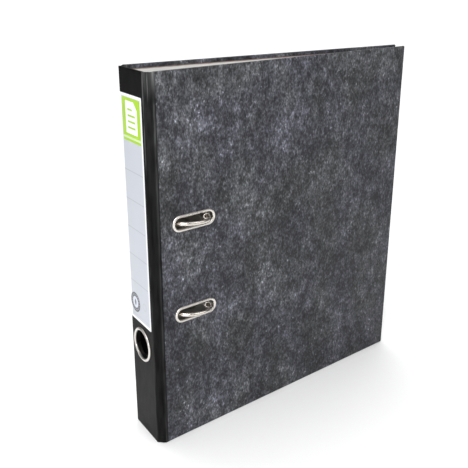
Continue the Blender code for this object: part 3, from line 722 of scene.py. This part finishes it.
def strip_rings(outline):
    """The strip's section at many heights: its ends sink a little at the hinge, and it is not
    quite even along its length."""
    rings = []
    steps = 106
    for k in range(steps + 1):
        up = k / steps
        z = HEIGHT * up
        end = max(0.0, 1 - up * 8, 1 - (1 - up) * 8)
        ring = []
        for x, y in outline:
            near_front = y < WIDTH / 2
            across = x - min(y, WIDTH - y)
            at_hinge = math.exp(-(((across - 0.6) / 3.4) ** 2))
            wave = noise.noise(Vector((across * 0.3, z * 0.045, 1.0 if near_front else 5.0))) * 0.09
            bite = noise.noise(Vector((across * 0.9, up * 3, 2.0))) * 0.25
            sink = at_hinge * (0.75 + bite) * end ** 3
            push = wave * at_hinge
            out = push if near_front else -push
            ring.append((x + push, y + out, z + (sink if up < 0.5 else -sink)))
        rings.append(ring)
    return rings


def hinged(mesh):
    """Turn what lies on the front cover's side of the front hinge in by the resting angle."""
    start, end = BEND_START[0] - BEND_START[1], BEND_END[0] - BEND_END[1]
    for vertex in mesh.vertices:
        across = vertex.co.x - vertex.co.y
        share = min(1.0, max(0.0, (across - start) / (end - start)))
        share = share * share * (3 - 2 * share)
        turn = Matrix.Rotation(PINCH * share, 4, "Z")
        vertex.co = AXIS + turn @ (vertex.co - AXIS)
    return mesh


def ring_cutter():
    """What is cut out of the spine for the finger ring."""
    reach = RING_HOLE + RIM_CUT
    return turned([(0, -8), (reach, -8), (reach, 8), (0, 8)], through_spine(), sides=96)


def black_strip(bends):
    """Black strip over the spine board and both hinges, in two pieces that meet at the back fold."""
    outer, inner = hinge_outer(), hinge_inner()
    outline = [(0.05, BACK_FOLD), (0.0, BACK_FOLD - 1.05)] + outer + inner[::-1]
    outline += [(CORE, BACK_FOLD - 0.45), (1.2, BACK_FOLD - 0.3), (0.85, BACK_FOLD - 0.05)]
    edges = bevel(0.3, 3, 55)
    mesh = cut(modified(loft(strip_rings(outline)), edges), [ring_cutter()])
    add("spine_wrap", hinged(mesh), FILM,
        ("spine_board", "spine_strip", "front_hinge_strip"), bend=bends["front"])
    outline = mirrored(outer[3:]) + mirrored(inner[2:])[::-1]
    mesh = modified(loft(strip_rings(outline)), edges)
    add("back_hinge_wrap", mesh, FILM, ("back_hinge_strip",), bend=bends["back"])


def hinge_backings(bends):
    """White backing inside the spine and both hinges, in two pieces that meet along the spine."""
    margin, steps = 3.0, 60
    for side, start in (("front", BACKING_MEETS), ("back", WIDTH - BACKING_MEETS)):
        line = [(CORE, start), (CORE, 6.6), (CORE + 0.02, 5.7), (2.52, 5.0), (2.72, 4.3), (3.0, 3.6),
                (3.35, 3.1), (3.85, 2.75), (4.6, 2.5), (5.4, 2.42), (BOARD_EDGE + 0.15, CORE)]
        path = [Vector(p) for p in line]
        inside = []
        for i, point in enumerate(path):
            along = (path[min(i + 1, len(path) - 1)] - path[max(i - 1, 0)]).normalized()
            inside.append(tuple(point + Vector((-along.y, along.x)) * BACKING))
        section = line + inside[::-1]
        if side == "back":
            section = mirrored(section)
        levels = [margin + (HEIGHT - 2 * margin) * k / steps for k in range(steps + 1)]
        mesh = cut(loft([[(x, y, z) for x, y in section] for z in levels]), [ring_cutter()])
        nodes = ()
        if side == "front":
            mesh = hinged(mesh)
            nodes = ("spine_lining",)
        add(f"{side}_hinge_backing", mesh, LINING, nodes, bend=bends[side])


def spine_and_hinges():
    """The strip and the backing, each bent between the spine and a cover."""
    (start_x, start_y), (end_x, end_y) = BEND_START, BEND_END
    bends = {"front": ("spine", "front_cover", (start_x, start_y, 0), (end_x, end_y, 0)),
             "back": ("spine", "back_cover", (start_x, WIDTH - start_y, 0), (end_x, WIDTH - end_y, 0))}
    black_strip(bends)
    hinge_backings(bends)


def label():
    """Printed sheet on the spine."""
    place = (Matrix.Translation((-0.13, 0, 0)) @ Matrix.Rotation(math.radians(90), 4, "X")
             @ Matrix.Rotation(math.radians(90), 4, "Y"))
    outline = rounded(rectangle(*LABEL), 0.8)
    add("spine_label_sheet", plate([outline], 0.22, place, 0.08), LABEL_PRINT,
        ("spine_label",), "spine")


def finger_ring():
    """A rolled ring whose tube is closed over a washer inside the spine."""
    middle, half = (RING_HOLE + RING_OUTER) / 2, (RING_OUTER - RING_HOLE) / 2
    bead = arc((middle, -0.05), (half, 1.1), 0, -180, 16)
    wall = [(RING_HOLE, -0.4), (RING_HOLE + 0.03, CLOSED_AT + 0.6)]
    curl = arc((RING_HOLE + 0.9, CLOSED_AT + 0.75), (0.87, 0.45), 180, 0, 8)
    back = [(RING_HOLE + 1.7, CLOSED_AT + 0.6), (RING_HOLE + 0.45, CLOSED_AT + 0.6),
            (RING_HOLE + 0.4, -0.05)]
    tube = turned(bead + wall + curl + back, through_spine(), True, 120)
    add("finger_ring_bead", tube, RING_NICKEL, ("finger_ring",), "spine", smooth=50)
    bore, rim = RING_HOLE + 0.6, 15.8
    flat = [(bore, CLOSED_AT), (rim - 0.3, CLOSED_AT), (rim, CLOSED_AT + 0.2),
            (rim - 0.2, CLOSED_AT + 0.45), (bore, CLOSED_AT + 0.55)]
    add("finger_ring_backing", turned(flat, through_spine(), True, 120), NICKEL,
        ("finger_ring_washer",), "spine", smooth=40)


def slot_rim(name, z):
    """A rolled rim: its section is carried round the slot."""
    half = RIM_WIDTH / 2
    section = [(0.02, CLOSED_AT + 0.3), (0.0, 0.6), (0.0, -0.1)]
    section += arc((half, -0.1), (half, 1.0), 180, 360, 14)[1:]
    section += [(RIM_WIDTH - 0.15, -0.01), (0.5, -0.01), (0.45, 0.4), (0.45, CLOSED_AT)]
    section += [(1.7, CLOSED_AT), (2.0, CLOSED_AT + 0.25), (1.75, CLOSED_AT + 0.6),
                (0.9, CLOSED_AT + 0.85), (0.25, CLOSED_AT + 0.75)]
    rings = []
    for out, depth in section:
        rings.append([(x, depth, v) for x, v in obround(z, SLOT_HEIGHT / 2 - RIM_INSET + out)])
    add(f"{name}_bead", loft(rings, loop=True), NICKEL, (name,), "front_cover", LEANING,
        smooth=50)


# -------- the mechanism
def rivet_places():
    """X and Z of the four rivets."""
    return [(x, z) for z in (PLATE_Z[0] + RIVET_INSET, PLATE_Z[1] - RIVET_INSET)
            for x in (PLATE_X[0] + RIVET_INSET, PLATE_X[1] - RIVET_INSET)]


def lever_lugs():
    """The two ears that hold the lever's pin, each with the fold it stands on."""
    parts = []
    for side in (-1, 1):
        z = MID_Z + side * (LEVER_HALF + 1.2)
        lug = [(PIN[0] - 7, PLATE_ROOT), (PIN[0] - 6.2, PLATE_ROOT - 1.2)]
        lug += arc(PIN, 4.5, -200, 20, 28)
        lug += [(PIN[0] + 6.2, PLATE_ROOT - 1.2), (PIN[0] + 7, PLATE_ROOT)]
        parts.append(plate([lug, circle(PIN, 2.15)], 1.2, Matrix.Translation((0, 0, z)), 0.2))
        foot = rounded(rectangle((PIN[0] - 7, PIN[0] + 7), (z - 1.6, z + 1.6)), 1.4)
        parts.append(plate([foot], 0.5, in_cover_plane(PLATE_TOP - 0.05), 0.2))
    return parts


def bow_straps():
    """The two straps that the bow's rod turns in."""
    toe, outer, inner, step = 5.05, 3.05, 2.05, PLATE_TOP - 0.5
    shoulder = PLATE_TOP - 1.6
    x = BOW[0]
    strap = [(x + toe + 1.2, PLATE_ROOT), (x + toe + 1.2, step), (x + toe - 0.8, step - 0.1),
             (x + outer + 0.25, shoulder)]
    strap += arc(BOW, outer, 0, -180, 24)
    strap += [(x - outer - 0.25, shoulder), (x - toe + 0.8, step - 0.1), (x - toe - 1.2, step),
              (x - toe - 1.2, PLATE_ROOT), (x - inner, PLATE_ROOT)]
    strap += arc(BOW, inner, -180, 0, 24) + [(x + inner, PLATE_ROOT)]
    return [plate([strap], 5.0, Matrix.Translation((0, 0, MID_Z + z)), 0.15) for z in (-30.5, 30.5)]


def base_plate():
    """Stamped plate with the lever's lugs and the straps over the bow."""
    edge = rounded(rectangle(PLATE_X, PLATE_Z), 5)
    holes = [circle(place, 2.15) for place in rivet_places()]
    holes += [circle((POST_X, z), 2.65) for z in ARCH_Z]
    holes.append(rounded(rectangle((17.5, 30.5), (177.3, 185.3)), 1.0))
    sheet = plate([edge] + holes, 1.0, in_cover_plane(PLATE_ROOT), 0.2)
    add("mechanism_plate", joined([sheet] + lever_lugs() + bow_straps()), ZINC,
        ("base_plate",), "back_cover")


def rivets():
    """Rivets with a domed head outside the back cover and a rolled end on the base plate."""
    grip = WIDTH - SEAT
    shank, steps = 2.0, 12
    quarter = [math.radians(90 * k / steps) for k in range(steps + 1)]
    dome = [(4.2 * math.sin(t), grip + 0.02 + 1.1 * math.cos(t)) for t in quarter]
    rolled = [(3.9, grip - 0.02), (shank, grip - 0.02), (shank, 0.0), (3.5, 0.0), (3.6, -0.3),
              (3.2, -0.6), (2.4, -0.85), (1.6, -0.8), (1.3, -0.55), (0.0, -0.5)]
    for number, (x, z) in enumerate(rivet_places(), start=1):
        mesh = turned(dome + rolled, along_y(x, SEAT, z), sides=48)
        add(f"rivet_head_{number}", mesh, NICKEL, (f"rivet_{number}",), "back_cover",
            smooth=50)


def posts():
    """Tubular posts whose tops are cut aslant round the tips of the bow."""
    outer, bore, deep = 2.5, 1.8, 9.0
    height = SEAT - POST_TOP
    slope = math.tan(math.radians(24))

    def ring(radius, level, slanted, z):
        points = []
        for a in full_turn(64):
            x = radius * math.cos(a)
            drop = (outer - x) * slope if slanted else 0.0
            points.append((POST_X + x, SEAT - level + drop, z + radius * math.sin(a)))
        return points

    foot = [(0.01, -1.0, False), (outer, -1.0, False), (outer, 0.0, False), (4.3, 0.0, False),
            (4.5, 0.25, False), (4.3, 0.6, False), (3.0, 0.8, False), (outer, 1.3, False)]
    mouth = [(outer, height - 0.15, True), (outer - 0.15, height, True), (bore + 0.12, height, True),
             (bore, height - 0.12, True), (bore, height - deep, False), (0.01, height - deep, False)]
    for name, z in zip(("post_lower", "post_upper"), ARCH_Z):
        mesh = loft([ring(*station, z) for station in foot + mouth])
        add(f"{name}_tube", mesh, NICKEL, (name,), "back_cover", smooth=40)


def headed_pin(radius, reach, head, cap, x, y):
    """A pin along Z with a rounded head at each end."""
    half = [(0.0, reach + cap), (head * 0.6, reach + cap * 0.97), (head * 0.88, reach + cap * 0.8),
            (head, reach + cap * 0.45), (head, reach), (radius, reach)]
    profile = half + [(r, -h) for r, h in reversed(half)]
    return turned(profile, Matrix.Translation((x, y, MID_Z)), sides=48)


def spring():
    """Torsion spring wound round the bow's axis."""
    coil, rod, turns, per_turn, pitch = 2.55, 0.4, 5, 40, 1.1
    start = MID_Z + 20.9
    end = start + pitch * turns
    level = BOW[1] + coil
    route = [(BOW[0] + 5.5, level, start), (BOW[0] + 2.5, level, start)]
    for k in range(turns * per_turn + 1):
        a = math.radians(90 + 360 * k / per_turn)
        route.append((BOW[0] + coil * math.cos(a), BOW[1] + coil * math.sin(a),
                      start + pitch * k / per_turn))
    route += [(BOW[0] - 2.5, level, end), (BOW[0] - 5.5, level, end)]
    add("torsion_spring", wire(route, rod, 12), SPRING, ("bow_spring",), "back_cover",
        smooth=60)


def bow():
    """One bent wire: two arches that close on the posts, and a cranked rod between them. The
    arches are highest near the posts and squarer on that side."""
    shoulder, crown, peak = 10.0, -3.0, 41.5
    half, bend = 40.0, 4.0
    crank_half, crank_reach, turn = 18, 10, 3.0
    x, y = BOW
    arch = []
    for u, v in arc((0, 0), 1.0, -12, -180, 56):
        span, square = (peak - x, 1.0) if u < 0 else (POST_X - peak, 2 / 2.8)
        arch.append((peak + span * math.copysign(abs(u) ** square, u),
                     shoulder + (shoulder - crown) * math.copysign(abs(v) ** square, v)))
    tip = Vector(arch[0])
    nose = tip + (tip - Vector(arch[1])).normalized() * 1.2
    side = [(*p, half) for p in [nose] + arch]
    side += [(x, level, half) for level in range(14, 39, 4)]
    side += [(x, y - bend + rise, half - bend + drop) for drop, rise in arc((0, 0), bend, 0, 90, 10)]
    side += [(x, y, z) for z in (33, 30, 27, 24)]
    side += [(x + turn + along, y, crank_half + turn - across)
             for across, along in arc((0, 0), turn, -90, 0, 8)]
    side += [(x + crank_reach - turn + along, y, crank_half - turn + across)
             for across, along in arc((0, 0), turn, 90, 0, 8)[::-1]]
    side += [(x + crank_reach, y, z) for z in (12, 6)]
    route = [(a, b, MID_Z + z) for a, b, z in side] + [(a, b, MID_Z - z) for a, b, z in reversed(side)]
    last = len(route) - 1
    tips = ((0, 0.42), (1, 0.72), (2, 0.9), (last, 0.42), (last - 1, 0.72), (last - 2, 0.9))
    add("arch_wire", wire(route, WIRE, 24, tips), WIRE_NICKEL, ("arch_bow",), "bow",
        smooth=60)


def catmull(values, knots, where):
    """Smooth interpolation through the values."""
    slopes = np.gradient(values, knots)
    index = np.clip(where.astype(int), 0, len(values) - 2)
    t = where - index
    a, b, c, d = values[index], values[index + 1], slopes[index], slopes[index + 1]
    return ((2 * t ** 3 - 3 * t ** 2 + 1) * a + (t ** 3 - 2 * t ** 2 + t) * c
            + (-2 * t ** 3 + 3 * t ** 2) * b + (t ** 3 - t ** 2) * d)


def lever():
    """Pressed channel: web and two flanges, rolled at the nose, turned up at the finger end. Each
    station is X, the web's Y, the flanges' Y and half the width."""
    nose, fillet = 3.7, 1.8
    steps, tail_start, tail_half = 60, 52, 8.7
    stations = []
    for degrees in (-28, -42, -55, -72, -90):
        x = PIN[0] + nose * math.cos(math.radians(degrees))
        top = PIN[1] + nose * math.sin(math.radians(degrees))
        stations.append((x, top, 2 * PIN[1] - top - 0.3, LEVER_HALF))
    stations += [(46.5, 37.2, 44.7, LEVER_HALF), (42.5, 35.2, 43.0, 12.7), (38.0, 33.8, 41.8, 12.3),
                 (33.6, 32.8, 41.4, 12.0), (29.0, 32.0, 40.6, 11.4), (24.0, 31.3, 38.5, 10.6),
                 (19.0, 30.5, 35.7, 9.8), (14.5, 29.3, 33.0, 9.2), (11.0, 27.7, 30.6, 8.9),
                 (8.2, 25.8, 28.1, 8.8), (6.2, 24.0, 25.9, 8.7)]
    table = np.array(stations)
    knots = np.arange(len(table))
    fine = np.linspace(0, len(table) - 1, steps + 1)
    smooth = [catmull(table[:, c], knots, fine) for c in range(4)]
    rows = []
    for k in range(len(fine)):
        x, top, low, half = (column[k] for column in smooth)
        edge = max(low, top + fillet + 0.2)
        right = [(0.0, top), (half * 0.35, top), (half * 0.65, top)]
        right += arc((half - fillet, top + fillet), fillet, -90, 0, 6)
        right += [(half, top + fillet + (edge - top - fillet) * s) for s in (0.5, 1.0)]
        left = [(-a, b) for a, b in reversed(right[1:])]
        tail = max(0.0, (k - tail_start) / (steps - tail_start))
        row = []
        for a, b in left + right:
            bent = tail * (a / tail_half) ** 2
            row.append((x + 2.6 * bent, b + 0.5 * bent, MID_Z + a))
        rows.append(row)
    count = len(rows[0])
    faces = [(r * count + i, r * count + i + 1, (r + 1) * count + i + 1, (r + 1) * count + i)
             for r in range(len(rows) - 1) for i in range(count - 1)]
    mesh = clean(shape_of([p for row in rows for p in row], faces))
    if sum(polygon.normal.y * polygon.area for polygon in mesh.polygons) > 0:
        mesh.flip_normals()
    sheet = ("SOLIDIFY", dict(thickness=1.0, offset=-1.0, use_even_offset=True))
    add("lever_channel", modified(mesh, sheet, bevel(0.22, 2, 50)), WIRE_NICKEL,
        ("lever_arm",), "lever", smooth=45)


def roller():
    """Wheel that the lever carries on its own pin."""
    radius, half, bore = 4.0, 8.0, 1.65
    side = [(bore, half - 0.1), (bore + 0.15, half), (radius - 0.5, half), (radius - 0.15, half - 0.15),
            (radius, half - 0.5), (radius, 3.0)]
    tread = side + [(r, -h) for r, h in reversed(side)]
    mesh = turned(tread, Matrix.Translation((*ROLLER, MID_Z)), True, 64)
    add("roller_wheel", mesh, ZINC, ("lever_roller",), "roller", smooth=40)


def compressor():
    """Bar that slides on the posts, stepped aside to pass the lever, with its two guides."""
    outer = [(62.0, 52), (62.0, 33), (70.0, 21)]
    inner = [(59.0, 23), (47.5, 33), (47.5, 52)]
    edge = [(x, MID_Z - z) for x, z in outer] + [(x, MID_Z + z) for x, z in reversed(outer)]
    edge += [(x, MID_Z + z) for x, z in reversed(inner)] + [(x, MID_Z - z) for x, z in inner]
    holes = [circle((POST_X, z), 4.15) for z in ARCH_Z]
    mesh = plate([rounded(edge, 3.0)] + holes, 1.2, in_cover_plane(BAR_Y + 0.6), 0.3)
    add("compressor_plate", mesh, ZINC, ("compressor_bar",), "compressor")

    bore, neck, flange = 2.65, 4.0, 5.8
    profile = [(bore, 7.0), (neck - 0.2, 7.0), (neck, 6.8), (neck, 5.35)]
    profile += [(flange - 0.2, 5.35), (flange, 5.15), (flange, 4.55), (flange - 0.2, 4.35)]
    profile += [(neck, 4.35), (neck, 2.85), (flange - 0.2, 2.85), (flange, 2.65), (flange, 2.05)]
    profile += [(5.5, 1.75), (4.5, 0.5), (4.1, 0.12), (3.8, 0.0), (2.8, 0.0), (bore, 0.15)]
    for name, z in zip(("compressor_guide_lower", "compressor_guide_upper"), ARCH_Z):
        add(f"{name}_bush", turned(profile, along_y(POST_X, 37.5, z), True, 64), PLASTIC,
            (name,), "compressor", smooth=40)


cover("front")
cover("back")
spine_and_hinges()
label()
finger_ring()
slot_rim("slot_rim_lower", ARCH_Z[0])
slot_rim("slot_rim_upper", ARCH_Z[1])
base_plate()
rivets()
posts()
add("lever_pin_rod", headed_pin(2.0, LEVER_HALF + 1.95, 2.9, 0.8, *PIN), ZINC,
    ("lever_pin",), "back_cover")
spring()
bow()
lever()
add("roller_pin_rod", headed_pin(1.5, 12.15, 2.2, 0.6, *ROLLER), ZINC,
    ("roller_pin",), "lever")
roller()
compressor()

for side in ("front", "back"):
    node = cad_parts[f"{side}_lining"]
    node.data.materials.clear()
    node.data.materials.append(lining_paper(f"{side}_lining_paper", True))


# -------- floor, light, camera, in metres
def stage_piece(name, mesh, look):
    """A piece of the stage, which is no part of the file."""
    mesh.materials.append(look)
    return placed(name, mesh)


def light(name, kind, source, strength):
    """A light that shines from a direction."""
    lamp = bpy.data.lights.new(name, kind)
    lamp.energy = strength
    holder = placed(name, lamp)
    holder.rotation_euler = Vector(source).to_track_quat("Z", "Y").to_euler()
    return holder


def sun(name, source, spread, strength):
    """Even, soft light from a direction; spread is its angular size in degrees."""
    light(name, "SUN", source, strength).data.angle = math.radians(spread)


floor = stage_piece("floor", block((-20, 20), (-20, 20), (-0.02, -0.0002)), matt("pale_floor", 400, 0.93))

# A dark card beside the spine, which only the shiny pieces see.
card = stage_piece("dark_card", block((-0.43, -0.42), (0.02, 1.1), (0.005, 0.9)),
                   matt("dark_card", 60, 0.05))
card.visible_camera = card.visible_diffuse = card.visible_shadow = False

# A pale ring far behind everything, which only the camera sees.
inside, outside, foot, top = 15.0, 15.05, -0.01, 12.0
wall = turned([(inside, foot), (inside, top), (outside, top), (outside, foot)], Matrix.Identity(4), True)
backdrop = stage_piece("backdrop", wall, matt("pale_backdrop", 900, 1.0, glow=1.0))
backdrop.visible_diffuse = backdrop.visible_glossy = backdrop.visible_shadow = False

sun("key", (-0.72, -0.68, 0.30), 12, 1.22)
sun("side", (-1.0, 0.2, 0.62), 45, 0.3)
sun("front", (0.35, -0.9, 0.95), 45, 0.7)
sun("back", (0.15, 0.5, 1.0), 60, 2.0)
sun("top", (-0.42, -0.16, 0.89), 14, 0.35)
near = light("near", "AREA", (-0.36, -0.33, 0.56), 2.8)
near.data.size = 0.35
near.location = (-0.48, -0.34, 0.78)

world = bpy.data.worlds.new("studio")
bpy.context.scene.world = world
world.use_nodes = True
sky = world.node_tree.nodes["Background"]
sky.inputs["Color"].default_value = (0.98, 0.99, 1.0, 1.0)
sky.inputs["Strength"].default_value = 0.22
bpy.context.scene.view_settings.view_transform = "Standard"

AZIMUTH, ELEVATION, DISTANCE = math.radians(-32.39), math.radians(20.44), 0.62
LOOKED_AT = Vector((-0.057, -0.0034, 0.1714))
eye = placed("eye", bpy.data.cameras.new("eye"))
bpy.context.scene.camera = eye
away = Vector((math.sin(AZIMUTH) * math.cos(ELEVATION), -math.cos(AZIMUTH) * math.cos(ELEVATION),
               math.sin(ELEVATION)))
eye.location = LOOKED_AT + away * DISTANCE
eye.rotation_euler = (-away).to_track_quat("-Z", "Y").to_euler()
eye.data.sensor_width = 36.0
eye.data.lens = 54.98
eye.data.clip_start = 0.01
